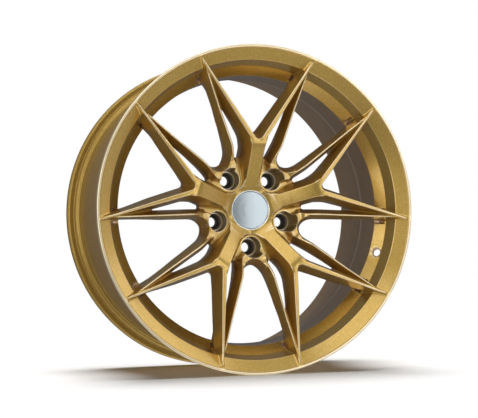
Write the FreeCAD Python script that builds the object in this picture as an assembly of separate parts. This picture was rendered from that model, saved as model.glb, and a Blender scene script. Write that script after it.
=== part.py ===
"""Forged racing wheel rim, 18 x 8.5J, five forked spokes with a thin brace under each branch.

Frame: millimetres, origin at the middle of the rim's overall width, on the axle.
+Y runs along the axle towards the car, so the outer face looks towards -Y, and +Z is up.
Depths are measured along +Y from the datum plane through the outer corner of the front flange.
The forging is one piece of metal on the real wheel. It is cut here into the rings and spokes
that a wheel designer names, and they meet face to face.
"""

import math
import os

import FreeCAD
import Part

# ---- driving dimensions -------------------------------------------------------------------
DATUM_Y = -120.0  # the datum plane of all depths, in the row frame
FLANGE_R = 245.9  # outer radius of both flanges
SEAT_R = 228.6  # nominal bead seat radius, an 18 inch rim
FLANGE_FACE = 12.05  # depth of the front flange's tyre side, 14 mm behind its front face
RIM_WIDTH = 215.9  # 8.5 inches between the two flanges' tyre sides
FLANGE_CURL = 8.55  # radius of each flange's rolled edge
SEAT_FILLET = 6.5  # radius between flange and bead seat
SEAT_TAPER = math.tan(math.radians(5))
WELL_R = 209.8  # outer radius of the drop centre

LIP_IN = (241.3, 0.4)  # (radius, depth) of the edges seen from the front, front to back
SLOPE_END = (224.3, 11.6)
SHOULDER_TOP = (218.9, 33.7)
WELL_FRONT = (204.9, 47.3)
WELL_REAR = (203.4, 87.4)
BARREL_END = (220.9, 200.0)
REAR_EDGE = (224.5, 235.0)

SPOKES = 5
LUGS = 5
MOUNT_FACE = 85.0  # depth of the mounting face: 35 mm offset
CENTRE_BORE_R = 33.3
CENTRE_BORE_LENGTH = 15.0
LUG_CIRCLE_R = 56.0
LUG_HOLE_R = 7.5
LUG_SEAT_R = 12.3
LUG_POCKET_R = 15.5
LUG_SEAT_DEPTH = 64.5
LUG_CONE_HALF_ANGLE = 30.0

CAP_R = 30.0
CAP_GAP = 0.3  # radial room round the cap, which pulls straight out
CAP_FRONT = 45.6
CAP_LEDGE = 49.5  # depth of the step that the cap's plate sits in front of
CAP_DISC_R = 28.6
CAP_SKIRT_R = 28.5
CAP_SKIRT_WALL = 2.0
CAP_SKIRT_END = 64.0
CAP_LEGS = 6

HUB_FRONT = [  # (radius, depth) of the hub pad's outside, from the cap's recess to the mounting face
    (CAP_R + CAP_GAP, 46.2),
    (35.5, 43.4),
    (38.5, 46.0),
    (81.5, 46.5),
    (82.5, 52.0),
    (79.0, 68.0),
    (76.0, MOUNT_FACE),
]
FOOT_DEPTH = 29.5  # depth of the raised land outside each lug, where two braces end
FOOT_SIDE = 29.5  # distance of its sides from the middle lines of the two nearest spokes
FOOT_R = 73.0  # radius of its outside at the front, which leans out to the hub's own
LUG_CLEARANCE_R = 20.2  # radius of the scallop round each lug in the sides of the spokes

VALVE_ANGLE = -18.0  # degrees from +X, half way between two spokes
VALVE_AT = (213.5, 39.0)  # (radius, depth) of the hole's mouth
VALVE_HOLE_R = 5.65
VALVE_WALL = 4.5

BRANCH_START = (9.8, 107.7)  # (across, along the spoke) on a branch's middle line
BRANCH_END = (89.0, 224.7)
DRAFT_DEPTH = 30.0  # the spokes' sides lean out to this depth and run straight behind it
BACK_DEPTH = 70.0

V = FreeCAD.Vector
AXLE = V(0, 1, 0)
ORIGIN = V(0, 0, 0)


# ---- helpers ------------------------------------------------------------------------------
def section_point(point):
    """A (radius, depth) pair as a point of the plane z = 0."""
    return V(point[0], point[1] + DATUM_Y, 0)


def wire_through(points):
    """A closed wire. A point given as ("arc", middle, end) is reached on an arc."""
    edges = []
    first = here = section_point(points[0])
    for step in points[1:]:
        if step[0] == "arc":
            middle, end = section_point(step[1]), section_point(step[2])
            edges.append(Part.Arc(here, middle, end).toShape())
        else:
            end = section_point(step)
            edges.append(Part.LineSegment(here, end).toShape())
        here = end
    edges.append(Part.LineSegment(here, first).toShape())
    return Part.Wire(edges)


def turned(points):
    """The solid of revolution of a (radius, depth) outline about the axle."""
    return Part.Face(wire_through(points)).revolve(ORIGIN, AXLE, 360)


def quarter(centre, radius, start_deg, end_deg):
    """An arc step between two directions from its centre, in the (radius, depth) plane."""

    def on_circle(deg):
        angle = math.radians(deg)
        return (
            centre[0] + radius * math.cos(angle),
            centre[1] + radius * math.sin(angle),
        )

    return ("arc", on_circle((start_deg + end_deg) / 2), on_circle(end_deg))


def cylinder(radius, from_depth, to_depth, across=0.0, along=0.0):
    """A round bar parallel to the axle."""
    base = V(across, from_depth + DATUM_Y, along)
    return Part.makeCylinder(radius, to_depth - from_depth, base, AXLE)


def outline_wire(outline, depth):
    """A closed straight-sided wire of (across, along) points in a plane across the axle."""
    points = [V(x, depth + DATUM_Y, z) for x, z in outline]
    return Part.makePolygon([*points, points[0]])


def drafted(top, top_depth, bottom):
    """A solid whose sides lean from top out to bottom, then run straight to the back."""
    wires = [
        outline_wire(top, top_depth),
        outline_wire(bottom, DRAFT_DEPTH),
        outline_wire(bottom, BACK_DEPTH),
    ]
    return Part.makeLoft(wires, True, True)


def side_cut(profile, half_width=120.0):
    """The solid between two heights of a spoke, from an (along, depth) outline seen from its side."""
    points = [V(-half_width, depth + DATUM_Y, along) for along, depth in profile]
    face = Part.Face(Part.makePolygon([*points, points[0]]))
    return face.extrude(V(2 * half_width, 0, 0))


def mirrored(half):
    """A whole outline from its right half, which starts and ends on or near the middle line."""
    return half + [(-x, z) for x, z in reversed(half) if abs(x) > 1e-9]


def beside(start, end, distance, offset):
    """The point at a distance along a line from start to end, and offset to its right."""
    length = math.dist(start, end)
    ux, uz = (end[0] - start[0]) / length, (end[1] - start[1]) / length
    return (
        start[0] + ux * distance + uz * offset,
        start[1] + uz * distance - ux * offset,
    )


def around(shape, index, count=SPOKES):
    """A copy of shape turned about the axle to one of count equal places."""
    copy = shape.copy()
    copy.rotate(ORIGIN, AXLE, 360.0 / count * index)
    return copy


# ---- the rim: seven rings -----------------------------------------------------------------
def seat_radius(distance_from_flange):
    return SEAT_R - distance_from_flange * SEAT_TAPER


def inner_wall(depth, start, end):
    """The radius of the rim's inner wall at a depth between two of its edges."""
    share = (depth - start[1]) / (end[1] - start[1])
    return start[0] + share * (end[0] - start[0])


def front_flange():
    curl = (FLANGE_R - FLANGE_CURL, FLANGE_FACE - FLANGE_CURL)
    foot = inner_wall(FLANGE_FACE, SLOPE_END, SHOULDER_TOP)
    return turned(
        [
            LIP_IN,
            (242.3, -2.0),
            (243.9, -2.0),
            quarter((243.9, 0.0), 2.0, -90, 0),
            (FLANGE_R, curl[1]),
            quarter(curl, FLANGE_CURL, 0, 90),
            (foot, FLANGE_FACE),
            SLOPE_END,
        ]
    )


def front_bead_seat():
    fillet = (SEAT_R + SEAT_FILLET, FLANGE_FACE + SEAT_FILLET)
    return turned(
        [
            (inner_wall(FLANGE_FACE, SLOPE_END, SHOULDER_TOP), FLANGE_FACE),
            (fillet[0], FLANGE_FACE),
            quarter(fillet, SEAT_FILLET, -90, -180),
            (seat_radius(SHOULDER_TOP[1] - FLANGE_FACE), SHOULDER_TOP[1]),
            SHOULDER_TOP,
        ]
    )


def shoulder_direction():
    """The unit vector down the shoulder's visible slope, in (radius, depth)."""
    length = math.dist(SHOULDER_TOP, WELL_FRONT)
    return (
        (WELL_FRONT[0] - SHOULDER_TOP[0]) / length,
        (WELL_FRONT[1] - SHOULDER_TOP[1]) / length,
    )


def valve_hole():
    """The cutter for the valve hole, square to the shoulder, with a spot face at each end."""
    down = shoulder_direction()
    out = (down[1], -down[0])  # from the shoulder's face into the metal
    drill = V(out[0], out[1], 0)
    mouth = V(VALVE_AT[0], VALVE_AT[1] + DATUM_Y, 0)
    cutter = Part.makeCylinder(VALVE_HOLE_R, 40, mouth - drill * 20, drill)
    front_spot = Part.makeCylinder(7.5, 12, mouth - drill * 11, drill)
    back_spot = Part.makeCylinder(9.5, 20, mouth + drill * (1 + VALVE_WALL), drill)
    cutter = cutter.fuse([front_spot, back_spot])
    cutter.rotate(ORIGIN, AXLE, -VALVE_ANGLE)
    return cutter


def front_shoulder():
    seat_end = seat_radius(SHOULDER_TOP[1] - FLANGE_FACE)
    down = shoulder_direction()
    hump_end = (227.0, 38.5)
    run = (WELL_FRONT[1] - hump_end[1]) / down[1]
    ring = turned(
        [
            SHOULDER_TOP,
            (seat_end, SHOULDER_TOP[1]),
            ("arc", (228.0, 36.2), hump_end),
            (hump_end[0] + down[0] * run, WELL_FRONT[1]),
            WELL_FRONT,
        ]
    )
    return ring.cut(valve_hole())


def drop_centre():
    down = shoulder_direction()
    run = (WELL_FRONT[1] - 38.5) / down[1]
    shoulder_r = 227.0 + down[0] * run
    slope_depth = WELL_FRONT[1] + (shoulder_r - WELL_R) * down[1] / -down[0]
    ring = turned(
        [
            WELL_FRONT,
            (shoulder_r, WELL_FRONT[1]),
            (WELL_R, slope_depth),
            (WELL_R, WELL_REAR[1]),
            WELL_REAR,
        ]
    )
    return ring.cut(valve_hole())


def barrel():
    return turned(
        [WELL_REAR, (WELL_R, WELL_REAR[1]), (WELL_R, 90.0), (226.2, 200.0), BARREL_END]
    )


def rear_bead_seat():
    flange = FLANGE_FACE + RIM_WIDTH
    fillet = (SEAT_R + SEAT_FILLET, flange - SEAT_FILLET)
    return turned(
        [
            BARREL_END,
            (226.2, 200.0),
            ("arc", (228.0, 203.8), (seat_radius(flange - 207.5), 207.5)),
            (SEAT_R, fillet[1]),
            quarter(fillet, SEAT_FILLET, 180, 90),
            (inner_wall(flange, BARREL_END, REAR_EDGE), flange),
        ]
    )


def rear_flange():
    flange = FLANGE_FACE + RIM_WIDTH
    curl = (FLANGE_R - FLANGE_CURL, flange + FLANGE_CURL)
    back = flange + FLANGE_FACE + 2.0
    return turned(
        [
            (inner_wall(flange, BARREL_END, REAR_EDGE), flange),
            (curl[0], flange),
            quarter(curl, FLANGE_CURL, -90, 0),
            (FLANGE_R, back - 2.0),
            quarter((FLANGE_R - 2.0, back - 2.0), 2.0, 0, 90),
            (241.0, back),
            (227.0, 236.5),
            REAR_EDGE,
        ]
    )


def in_arcs(ring):
    """A ring cut into five arcs, each from one spoke's middle line to the next."""
    half = math.radians(180.0 / SPOKES)
    reach = 400.0
    corner = (reach * math.sin(half), reach * math.cos(half))
    outline = [(0.0, 0.0), (-corner[0], corner[1]), corner]
    wedge = Part.Face(outline_wire(outline, -20.0)).extrude(V(0, 280.0, 0))
    return [ring.common(around(wedge, index + 0.5)) for index in range(SPOKES)]


# ---- the hub pad --------------------------------------------------------------------------
def lug_cutters():
    """The pockets, conical seats and through holes of the five lugs."""
    cone_height = (LUG_SEAT_R - LUG_HOLE_R) / math.tan(
        math.radians(LUG_CONE_HALF_ANGLE)
    )
    pocket = cylinder(LUG_POCKET_R, -5, LUG_SEAT_DEPTH, along=LUG_CIRCLE_R)
    seat = Part.makeCone(
        LUG_SEAT_R,
        LUG_HOLE_R,
        cone_height,
        V(0, LUG_SEAT_DEPTH + DATUM_Y, LUG_CIRCLE_R),
        AXLE,
    )
    hole = cylinder(LUG_HOLE_R, LUG_SEAT_DEPTH, MOUNT_FACE + 1, along=LUG_CIRCLE_R)
    one = pocket.fuse([seat, hole])
    return [around(one, index + 0.5, LUGS) for index in range(LUGS)]


def relief_pockets():
    """The blind weight-saving pockets in the mounting face, one behind each spoke."""
    outline = mirrored([(6.0, 44.0), (9.5, 47.0), (13.0, 66.0), (9.0, 70.0)])
    wires = [outline_wire(outline, 75.0), outline_wire(outline, MOUNT_FACE + 1)]
    pocket = Part.makeLoft(wires, True, True)
    return [around(pocket, index) for index in range(SPOKES)]


def feet():
    """The raised lands outside the lugs, with sides square to the neighbouring spokes."""
    half = math.radians(180.0 / SPOKES)
    apex = FOOT_SIDE / math.sin(half)
    reach = 40.0
    corners = [(0.0, apex), (reach * math.sin(half), apex + reach * math.cos(half))]
    outline = mirrored(corners[::-1])
    sides = Part.Face(outline_wire(outline, FOOT_DEPTH)).extrude(V(0, 20.0, 0))
    outside = turned(
        [
            (0.0, FOOT_DEPTH),
            (FOOT_R, FOOT_DEPTH),
            (HUB_FRONT[4][0], HUB_FRONT[4][1]),
            (0.0, HUB_FRONT[4][1]),
        ]
    )
    one = sides.common(outside)
    return [around(one, index + 0.5, LUGS) for index in range(LUGS)]


def hub_pad():
    bore_top = MOUNT_FACE - CENTRE_BORE_LENGTH
    cap_bore = CAP_SKIRT_R + CAP_GAP + 0.1
    body = turned(
        [
            *HUB_FRONT,
            (CENTRE_BORE_R, MOUNT_FACE),
            (CENTRE_BORE_R, bore_top),
            (cap_bore, bore_top),
            (cap_bore, CAP_LEDGE),
            (HUB_FRONT[0][0], CAP_LEDGE),
        ]
    )
    return body.fuse(feet()).removeSplitter().cut(lug_cutters() + relief_pockets())


# ---- the spokes ---------------------------------------------------------------------------
def inside_rim():
    """Everything inside the rim's inner wall, from its front edge back to the mounting face."""
    return turned(
        [
            (0.0, -2.0),
            (LIP_IN[0], -2.0),
            LIP_IN,
            SLOPE_END,
            SHOULDER_TOP,
            WELL_FRONT,
            (WELL_FRONT[0], 84.0),
            (0.0, 84.0),
        ]
    )


def fitted(shape):
    """A spoke or brace cut to lie between the hub pad, the lug pockets and the rim."""
    cap_way = [(0.0, -5.0), (HUB_FRONT[0][0], -5.0)]
    hub = turned([*cap_way, *HUB_FRONT, (0.0, MOUNT_FACE)])
    shape = shape.common(inside_rim()).cut([hub] + feet())
    return shape.cut(lug_cutters())


def spoke():
    """One forked spoke: an arm from the cap to the fork, and two branches out to the rim."""
    length = math.dist(BRANCH_START, BRANCH_END)

    def branch(distance, offset):
        return beside(BRANCH_START, BRANCH_END, distance, offset)

    top = mirrored(
        [
            (10.5, 28.0),
            (10.0, 60.0),
            (10.3, 95.0),
            branch(0.0, 3.2),
            branch(length, 1.6),
            branch(length, -1.6),
            branch(0.0, -3.0),
            (0.0, 103.5),
        ]
    )
    bottom = mirrored(
        [
            (15.0, 28.0),
            (16.0, 60.0),
            (18.8, 92.0),
            branch(13.0, 8.8),
            branch(length, 6.0),
            branch(length, -4.5),
            branch(25.0, -9.5),
            (0.0, 114.0),
        ]
    )
    heights = side_cut(
        [
            (28.0, 47.5),
            (97.0, 0.0),
            (103.5, -0.8),
            (250.0, -0.8),
            (250.0, 40.0),
            (218.0, 36.0),
            (150.0, 31.0),
            (105.0, 46.0),
            (82.0, 62.0),
            (70.0, 68.0),
            (28.0, 68.0),
        ]
    )
    scallop = cylinder(LUG_CLEARANCE_R, -5, HUB_FRONT[2][1], along=LUG_CIRCLE_R)
    scallops = [around(scallop, index + 0.5, LUGS) for index in (-1, 0)]
    return fitted(drafted(top, -0.8, bottom).common(heights).cut(scallops))


def brace(whole_spoke):
    """The thin brace on the right of a spoke, from the lug pocket to the branch's outer end."""
    low, knee, high = (33.0, 74.0), (38.0, 92.0), (84.5, 220.0)

    def outline(half_width):
        right = [
            beside(low, knee, 0.0, half_width),
            beside(knee, high, 0.0, half_width),
            beside(knee, high, math.dist(knee, high), half_width),
        ]
        left = [
            beside(knee, high, math.dist(knee, high), -half_width),
            beside(knee, high, 0.0, -half_width),
            beside(low, knee, 0.0, -half_width),
        ]
        return right + left

    heights = side_cut(
        [
            (60.0, 36.0),
            (76.0, 27.0),
            (84.0, 17.0),
            (97.0, 9.5),
            (155.0, 8.0),
            (187.0, 4.0),
            (225.0, 2.0),
            (225.0, 38.0),
            (150.0, 31.0),
            (105.0, 44.0),
            (84.0, 60.0),
            (70.0, 66.0),
            (60.0, 66.0),
        ]
    )
    shape = drafted(outline(1.1), 1.5, outline(6.5)).common(heights)
    pieces = fitted(shape).cut(whole_spoke).Solids
    return max(pieces, key=lambda piece: piece.Volume)


# ---- the centre cap -----------------------------------------------------------------------
def cap_body():
    """The cap's moulded base: a plate with a skirt split into spring legs."""
    plate = cylinder(CAP_R, CAP_FRONT + 1.6, CAP_FRONT + 3.6)
    skirt = cylinder(CAP_SKIRT_R, CAP_FRONT + 3.6, CAP_SKIRT_END)
    skirt = skirt.cut(
        cylinder(CAP_SKIRT_R - CAP_SKIRT_WALL, CAP_FRONT + 3.6, CAP_SKIRT_END + 1)
    )
    slot_length = CAP_SKIRT_END - (CAP_FRONT + 6.0)
    for index in range(CAP_LEGS // 2):
        slot = Part.makeBox(80, slot_length + 1, 9.0)
        slot.translate(V(-40, CAP_FRONT + 6.0 + DATUM_Y, -4.5))
        slot.rotate(ORIGIN, AXLE, 360.0 / CAP_LEGS * index)
        skirt = skirt.cut(slot)
    return plate.fuse(skirt).removeSplitter()


def cap_trim_ring():
    return turned(
        [
            (CAP_DISC_R + 0.1, CAP_FRONT + 1.6),
            (CAP_DISC_R + 0.1, CAP_FRONT + 0.5),
            (CAP_DISC_R + 0.6, CAP_FRONT),
            (CAP_R - 0.4, CAP_FRONT),
            (CAP_R, CAP_FRONT + 0.6),
            (CAP_R, CAP_FRONT + 1.6),
        ]
    )


def cap_disc():
    """The cap's thin metal face, very slightly domed."""
    crown, rim = CAP_FRONT + 0.3, CAP_FRONT + 0.9
    return turned(
        [
            (0.0, CAP_FRONT + 1.6),
            (0.0, crown),
            ("arc", (CAP_DISC_R / 2, crown + (rim - crown) / 4), (CAP_DISC_R, rim)),
            (CAP_DISC_R, CAP_FRONT + 1.6),
        ]
    )


def cap_spring_ring():
    """The wire ring that presses the cap's legs outwards, near their ends."""
    wire_r = 0.9
    ring_r = CAP_SKIRT_R - CAP_SKIRT_WALL - wire_r
    at = V(0, CAP_SKIRT_END - 4.0 + DATUM_Y, 0)
    return Part.makeTorus(ring_r, wire_r, at, AXLE)


# ---- the whole wheel ----------------------------------------------------------------------
def nodes():
    made = {
        "rim_front_flange": front_flange(),
        "rim_rear_flange": rear_flange(),
        "hub_pad": hub_pad(),
        "cap_body": cap_body(),
        "cap_trim_ring": cap_trim_ring(),
        "cap_disc": cap_disc(),
        "cap_spring_ring": cap_spring_ring(),
    }
    rings = {
        "rim_front_bead_seat": front_bead_seat(),
        "rim_front_shoulder": front_shoulder(),
        "rim_drop_centre": drop_centre(),
        "rim_barrel": barrel(),
        "rim_rear_bead_seat": rear_bead_seat(),
    }
    for name, ring in rings.items():
        for number, arc in enumerate(in_arcs(ring), 1):
            made[f"{name}_{number}"] = arc
    one_spoke = spoke()
    right_brace = brace(one_spoke)
    left_brace = right_brace.mirror(ORIGIN, V(1, 0, 0))
    for index in range(SPOKES):
        number = index + 1
        made[f"spoke_{number}"] = around(one_spoke, index)
        made[f"brace_{number}_right"] = around(right_brace, index)
        made[f"brace_{number}_left"] = around(left_brace, index)
    return made


def main():
    os.makedirs("parts", exist_ok=True)
    for name, shape in nodes().items():
        print(f"{name}: {len(shape.Solids)} solid, {shape.Volume / 1000:.1f} cm3")
        shape.exportStep(f"parts/{name}.step")


main()
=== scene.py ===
"""Looks of the forged racing wheel rim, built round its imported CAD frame.

The face of the wheel (hub, spokes, braces and the front of the rim) is described as one signed
distance field in the CAD's own measures and turned into a mesh, so that every corner has the
fillet of a milled forging. The rest of the rim is turned from its section, and the cap is built
from its own sections. Lengths inside the field are millimetres, and depths run back from the
datum plane through the outer corner of the front flange. Everything in Blender is in metres.
"""

import math

import bmesh
import bpy
import numpy as np
from mathutils import Matrix, Vector


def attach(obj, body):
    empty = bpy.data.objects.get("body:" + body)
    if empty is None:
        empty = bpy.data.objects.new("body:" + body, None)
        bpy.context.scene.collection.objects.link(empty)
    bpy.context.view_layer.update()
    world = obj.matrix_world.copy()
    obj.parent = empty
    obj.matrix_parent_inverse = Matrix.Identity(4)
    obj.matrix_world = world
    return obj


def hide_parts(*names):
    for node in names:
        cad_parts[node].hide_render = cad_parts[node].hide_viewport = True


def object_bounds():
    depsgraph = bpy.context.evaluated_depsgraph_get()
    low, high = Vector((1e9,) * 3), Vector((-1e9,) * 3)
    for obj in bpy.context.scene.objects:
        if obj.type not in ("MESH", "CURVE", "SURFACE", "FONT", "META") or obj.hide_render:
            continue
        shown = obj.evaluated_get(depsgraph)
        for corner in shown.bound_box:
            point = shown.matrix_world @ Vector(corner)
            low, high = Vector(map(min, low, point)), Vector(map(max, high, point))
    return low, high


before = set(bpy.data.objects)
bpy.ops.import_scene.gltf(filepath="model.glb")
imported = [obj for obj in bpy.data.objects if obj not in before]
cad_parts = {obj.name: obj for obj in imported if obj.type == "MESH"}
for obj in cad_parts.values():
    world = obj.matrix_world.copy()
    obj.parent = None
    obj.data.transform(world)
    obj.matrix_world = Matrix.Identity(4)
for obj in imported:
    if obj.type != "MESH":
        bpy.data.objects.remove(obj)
cad_box = [list(corner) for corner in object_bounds()]

MM = 0.001
DATUM_Y = -0.120  # metres, the datum plane of all depths
SPOKES = 5
SECTOR = 2 * math.pi / SPOKES
FLOOR_Z = cad_box[0][2]

# ---- the rim's section, as (radius, depth) in millimetres ---------------------------------
LIP_FRONT = -2.0
FLANGE_R = 245.9
BEAD_SEAT_R = 235.1
SLOPE_END = (224.3, 11.6)
SHOULDER_TOP = (218.9, 33.7)
WELL_FRONT = (204.9, 47.3)
WELL_REAR = (203.4, 87.4)
WELL_OUTSIDE_R = 209.8

# ---- hub, lugs and valve ------------------------------------------------------------------
CAP_RECESS_R = 30.3
LUG_CIRCLE_R = 56.0
LUG_HOLE_R = 7.5
LUG_SEAT_R = 12.3
LUG_CLEARANCE_R = 20.2
SEAT_INSERT_R = 13.3  # outside of the machined seat, which is a piece of its own
FOOT_SIDE = 29.5  # distance of a foot's sides from the middle lines of the two nearest spokes
LUG_SEAT_DEPTH = 64.5
MOUNT_FACE = 85.0
VALVE_AT = (213.5, 39.0)
VALVE_HOLE_R = 5.65
VALVE_TURN = math.radians(36.0)  # the hole is half way between two spokes

# ---- spokes -------------------------------------------------------------------------------
BRANCH_START = (9.8, 107.7)
BRANCH_ANGLE = math.radians(34.1)  # from the spoke's own middle line
BRACE_START = (39.6, 97.0)
BRACE_ANGLE = math.radians(19.95)
DRAFT_DEPTH = 30.0  # side walls lean out to here and run straight behind it
EDGE = 1.3  # rounding of a painted outside edge

# ---- centre cap ---------------------------------------------------------------------------
CAP_FRONT = 45.6  # depth of the middle of the disc
CAP_SEAT = CAP_FRONT + 1.6  # the disc and the trim ring stand on the moulded base here
CAP_BASE_R = 30.0
LEG_COUNT = 6
LEG_END = 64.0
WIRE_RING_R = 25.6
WIRE_R = 0.9
WIRE_DEPTH = 60.0

# ---- the mesh of the face -----------------------------------------------------------------
FIELD_R = (27.0, 247.2)  # the field is sampled between these radii
FIELD_FRONT = -3.4  # and from this depth back to the rear of the drop centre
VALVE_SPAN = (104, 112)  # degrees of turn round the valve hole
FACE_TRIANGLES = 190000

# ---- camera, solved from the circles and holes that the photograph shows --------------------
LENS = 101.25
CAMERA_AROUND = math.radians(-18.596)
CAMERA_ABOVE = math.radians(-2.12)
CAMERA_AWAY = 1.9954
CAMERA_ROLL = math.radians(-0.657)
CAMERA_SHIFT = (-0.0444, -0.0003)


# ---- distance field helpers ---------------------------------------------------------------
def soft_min(a, b, radius):
    """The union of two fields, with a fillet of about this radius where they meet."""
    reach = 1.17 * radius
    blend = np.maximum(reach - np.abs(a - b), 0.0) / reach
    return np.minimum(a, b) - blend * blend * reach / 4


def soft_max(a, b, radius):
    """The overlap of two fields, with its outside edge rounded to about this radius."""
    return -soft_min(-a, -b, radius)


def line_coordinates(x, z, start, angle):
    """Distance along a line that leaves start at an angle from +Z, and offset to its right."""
    ux, uz = math.sin(angle), math.cos(angle)
    dx, dz = x - start[0], z - start[1]
    return dx * ux + dz * uz, dx * uz - dz * ux


def polygon_distance(px, py, corners):
    """Signed distance to a closed polygon, negative inside."""
    nearest = np.full(np.broadcast(px, py).shape, 1e12)
    inside = np.zeros(nearest.shape, bool)
    count = len(corners)
    for index in range(count):
        ax, ay = corners[index]
        bx, by = corners[(index + 1) % count]
        ex, ey = bx - ax, by - ay
        wx, wy = px - ax, py - ay
        share = np.clip((wx * ex + wy * ey) / (ex * ex + ey * ey), 0.0, 1.0)
        dx, dy = wx - ex * share, wy - ey * share
        nearest = np.minimum(nearest, dx * dx + dy * dy)
        crosses = (ay <= py) != (by <= py)
        side = ex * wy - ey * wx
        inside ^= crosses & ((side > 0) == (ey > 0))
    distance = np.sqrt(nearest)
    return np.where(inside, -distance, distance)


def rounded(corners, radii):
    """The polygon with each corner replaced by an arc of its radius, 0 for a sharp one."""
    out = []
    count = len(corners)
    for index, radius in enumerate(radii):
        corner = np.array(corners[index], float)
        if radius == 0:
            out.append(tuple(corner))
            continue
        before = np.array(corners[index - 1], float) - corner
        after = np.array(corners[(index + 1) % count], float) - corner
        before /= np.linalg.norm(before)
        after /= np.linalg.norm(after)
        half = math.acos(np.clip(before @ after, -1, 1)) / 2
        middle = before + after
        middle /= np.linalg.norm(middle)
        centre = corner + middle * (radius / math.sin(half))
        start = corner + before * (radius / math.tan(half)) - centre
        sweep = math.pi - 2 * half
        turn = np.sign(before[0] * after[1] - before[1] * after[0])
        steps = max(2, int(sweep / 0.2))
        for step in range(steps + 1):
            angle = -turn * sweep * step / steps
            c, s = math.cos(angle), math.sin(angle)
            spun = np.array([c * start[0] - s * start[1], s * start[0] + c * start[1]])
            out.append(tuple(centre + spun))
    return out


# ---- the pieces of the face, as fields ----------------------------------------------------
def rim_section():
    """The front of the rim, from the flange back into the drop centre."""
    corners = [
        (241.3, -0.2),
        (242.2, LIP_FRONT),
        (FLANGE_R, LIP_FRONT),
        (FLANGE_R, 9.0),
        (243.5, 12.05),
        (BEAD_SEAT_R, 12.05),
        (BEAD_SEAT_R, 19.3),
        (228.9, 19.3),
        (227.9, 37.0),
        (WELL_OUTSIDE_R, 56.0),
        (WELL_OUTSIDE_R, 110.0),
        (WELL_REAR[0] + 3, 110.0),
        WELL_REAR,
        WELL_FRONT,
        SHOULDER_TOP,
        SLOPE_END,
    ]
    radii = [0.4, 0.5, 2, 5, 4, 1.5, 5, 2, 3, 5, 0, 0, 0.9, 1.2, 1.8, 2.2]
    return rounded(corners, radii)


def hub_section():
    """The hub pad and the ring round the cap."""
    corners = [
        (CAP_RECESS_R, 45.9),
        (81.4, 45.9),
        (82.6, 52.0),
        (79.0, 68.0),
        (75.0, MOUNT_FACE),
        (33.3, MOUNT_FACE),
        (33.3, 70.0),
        (28.9, 70.0),
        (28.9, 49.5),
        (CAP_RECESS_R, 49.5),
    ]
    return rounded(corners, [0.5, 0.8, 2.0, 3.0, 1.5, 1.0, 0.3, 0.3, 0.3, 0.3])


class SectionTable:
    """The distance to a turned section, worked out once on a fine grid and then looked up."""

    def __init__(self, corners, low=(24.0, -8.0), high=(252.0, 92.0), pitch=0.25):
        self.pitch = pitch
        self.low = low
        radii = np.arange(low[0], high[0], pitch)
        depths = np.arange(low[1], high[1], pitch)
        grid = np.meshgrid(radii, depths, indexing="ij")
        self.values = polygon_distance(*grid, corners)

    def at(self, radius, depth):
        across = np.clip((radius - self.low[0]) / self.pitch, 0, self.values.shape[0] - 1.001)
        along = np.clip((depth - self.low[1]) / self.pitch, 0, self.values.shape[1] - 1.001)
        i, j = across.astype(int), along.astype(int)
        u, v = across - i, along - j
        near = self.values[i, j] * (1 - u) + self.values[i + 1, j] * u
        far = self.values[i, j + 1] * (1 - u) + self.values[i + 1, j + 1] * u
        return near * (1 - v) + far * v


RIM_SECTION = SectionTable(rim_section())
HUB_SECTION = SectionTable(hub_section())


def back_depth(radius):
    """How far back the spokes reach at each radius from the axle."""
    return np.interp(
        radius,
        [30, 60, 76, 84, 95, 110, 135, 165, 192, 206, 230],
        [75, 74, 70, 61, 52, 43.5, 35.5, 32.5, 35, 46.8, 46.8],
    )


def spoke_top(z):
    """The depth of a spoke's front: a slope up from the cap, rounded off into a level top."""
    fall = 97.0 - z
    return 0.687 * 0.5 * (fall + np.sqrt(fall * fall + 30.0)) - 0.25


def branch_walls(x, z, depth):
    """The side walls of a branch.

    Here and below, a leaning wall's field is scaled by the cosine of its lean, which keeps it
    a distance.
    """
    along, offset = line_coordinates(x, z, BRANCH_START, BRANCH_ANGLE)
    half = np.interp(along, [0, 25, 55, 91, 137], [3.1, 3.0, 2.5, 1.8, 1.35])
    lean = np.minimum(depth, DRAFT_DEPTH)
    lean_in = np.interp(along, [0, 60, 100, 130], [0.26, 0.24, 0.15, 0.12])
    lean_out = np.interp(along, [0, 60, 110, 137], [0.2, 0.2, 0.2, 0.14])
    outer = (offset - half - lean * lean_out) * 0.98
    inner = (-offset - half - lean * lean_in) * 0.97
    return np.maximum(np.maximum(outer, inner), -along - 6.0)


def arm_walls(x, z, depth):
    """The side walls and the outer end of an arm, inside of its two branches."""
    below = np.clip(depth - spoke_top(z), 0.0, DRAFT_DEPTH)
    half = np.interp(z, [40, 60, 80, 96, 104], [9.9, 9.9, 10.0, 10.5, 11.6])
    sides = (np.abs(x) - half - 0.27 * below) * 0.965
    end = (z - 101.6 - 0.4 * np.minimum(depth, DRAFT_DEPTH)) * 0.93
    return soft_max(sides, end, 2.0)


def spoke_field(x, z, depth, radius):
    """An arm with its two branches, and the crown that joins the arms round the cap."""
    branches = soft_min(branch_walls(x, z, depth), branch_walls(-x, z, depth), 6.0)
    walls = soft_min(branches, arm_walls(x, z, depth), 6.0)
    walls = soft_min(walls, radius - 44.0, 6.0)
    rise = np.where(z < 97, 0.824, 1.0)
    field = soft_max(walls, (spoke_top(z) - depth) * rise, EDGE)
    field = soft_max(field, depth - back_depth(radius), 2.0)
    return soft_max(field, CAP_RECESS_R - radius, 1.0)


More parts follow.
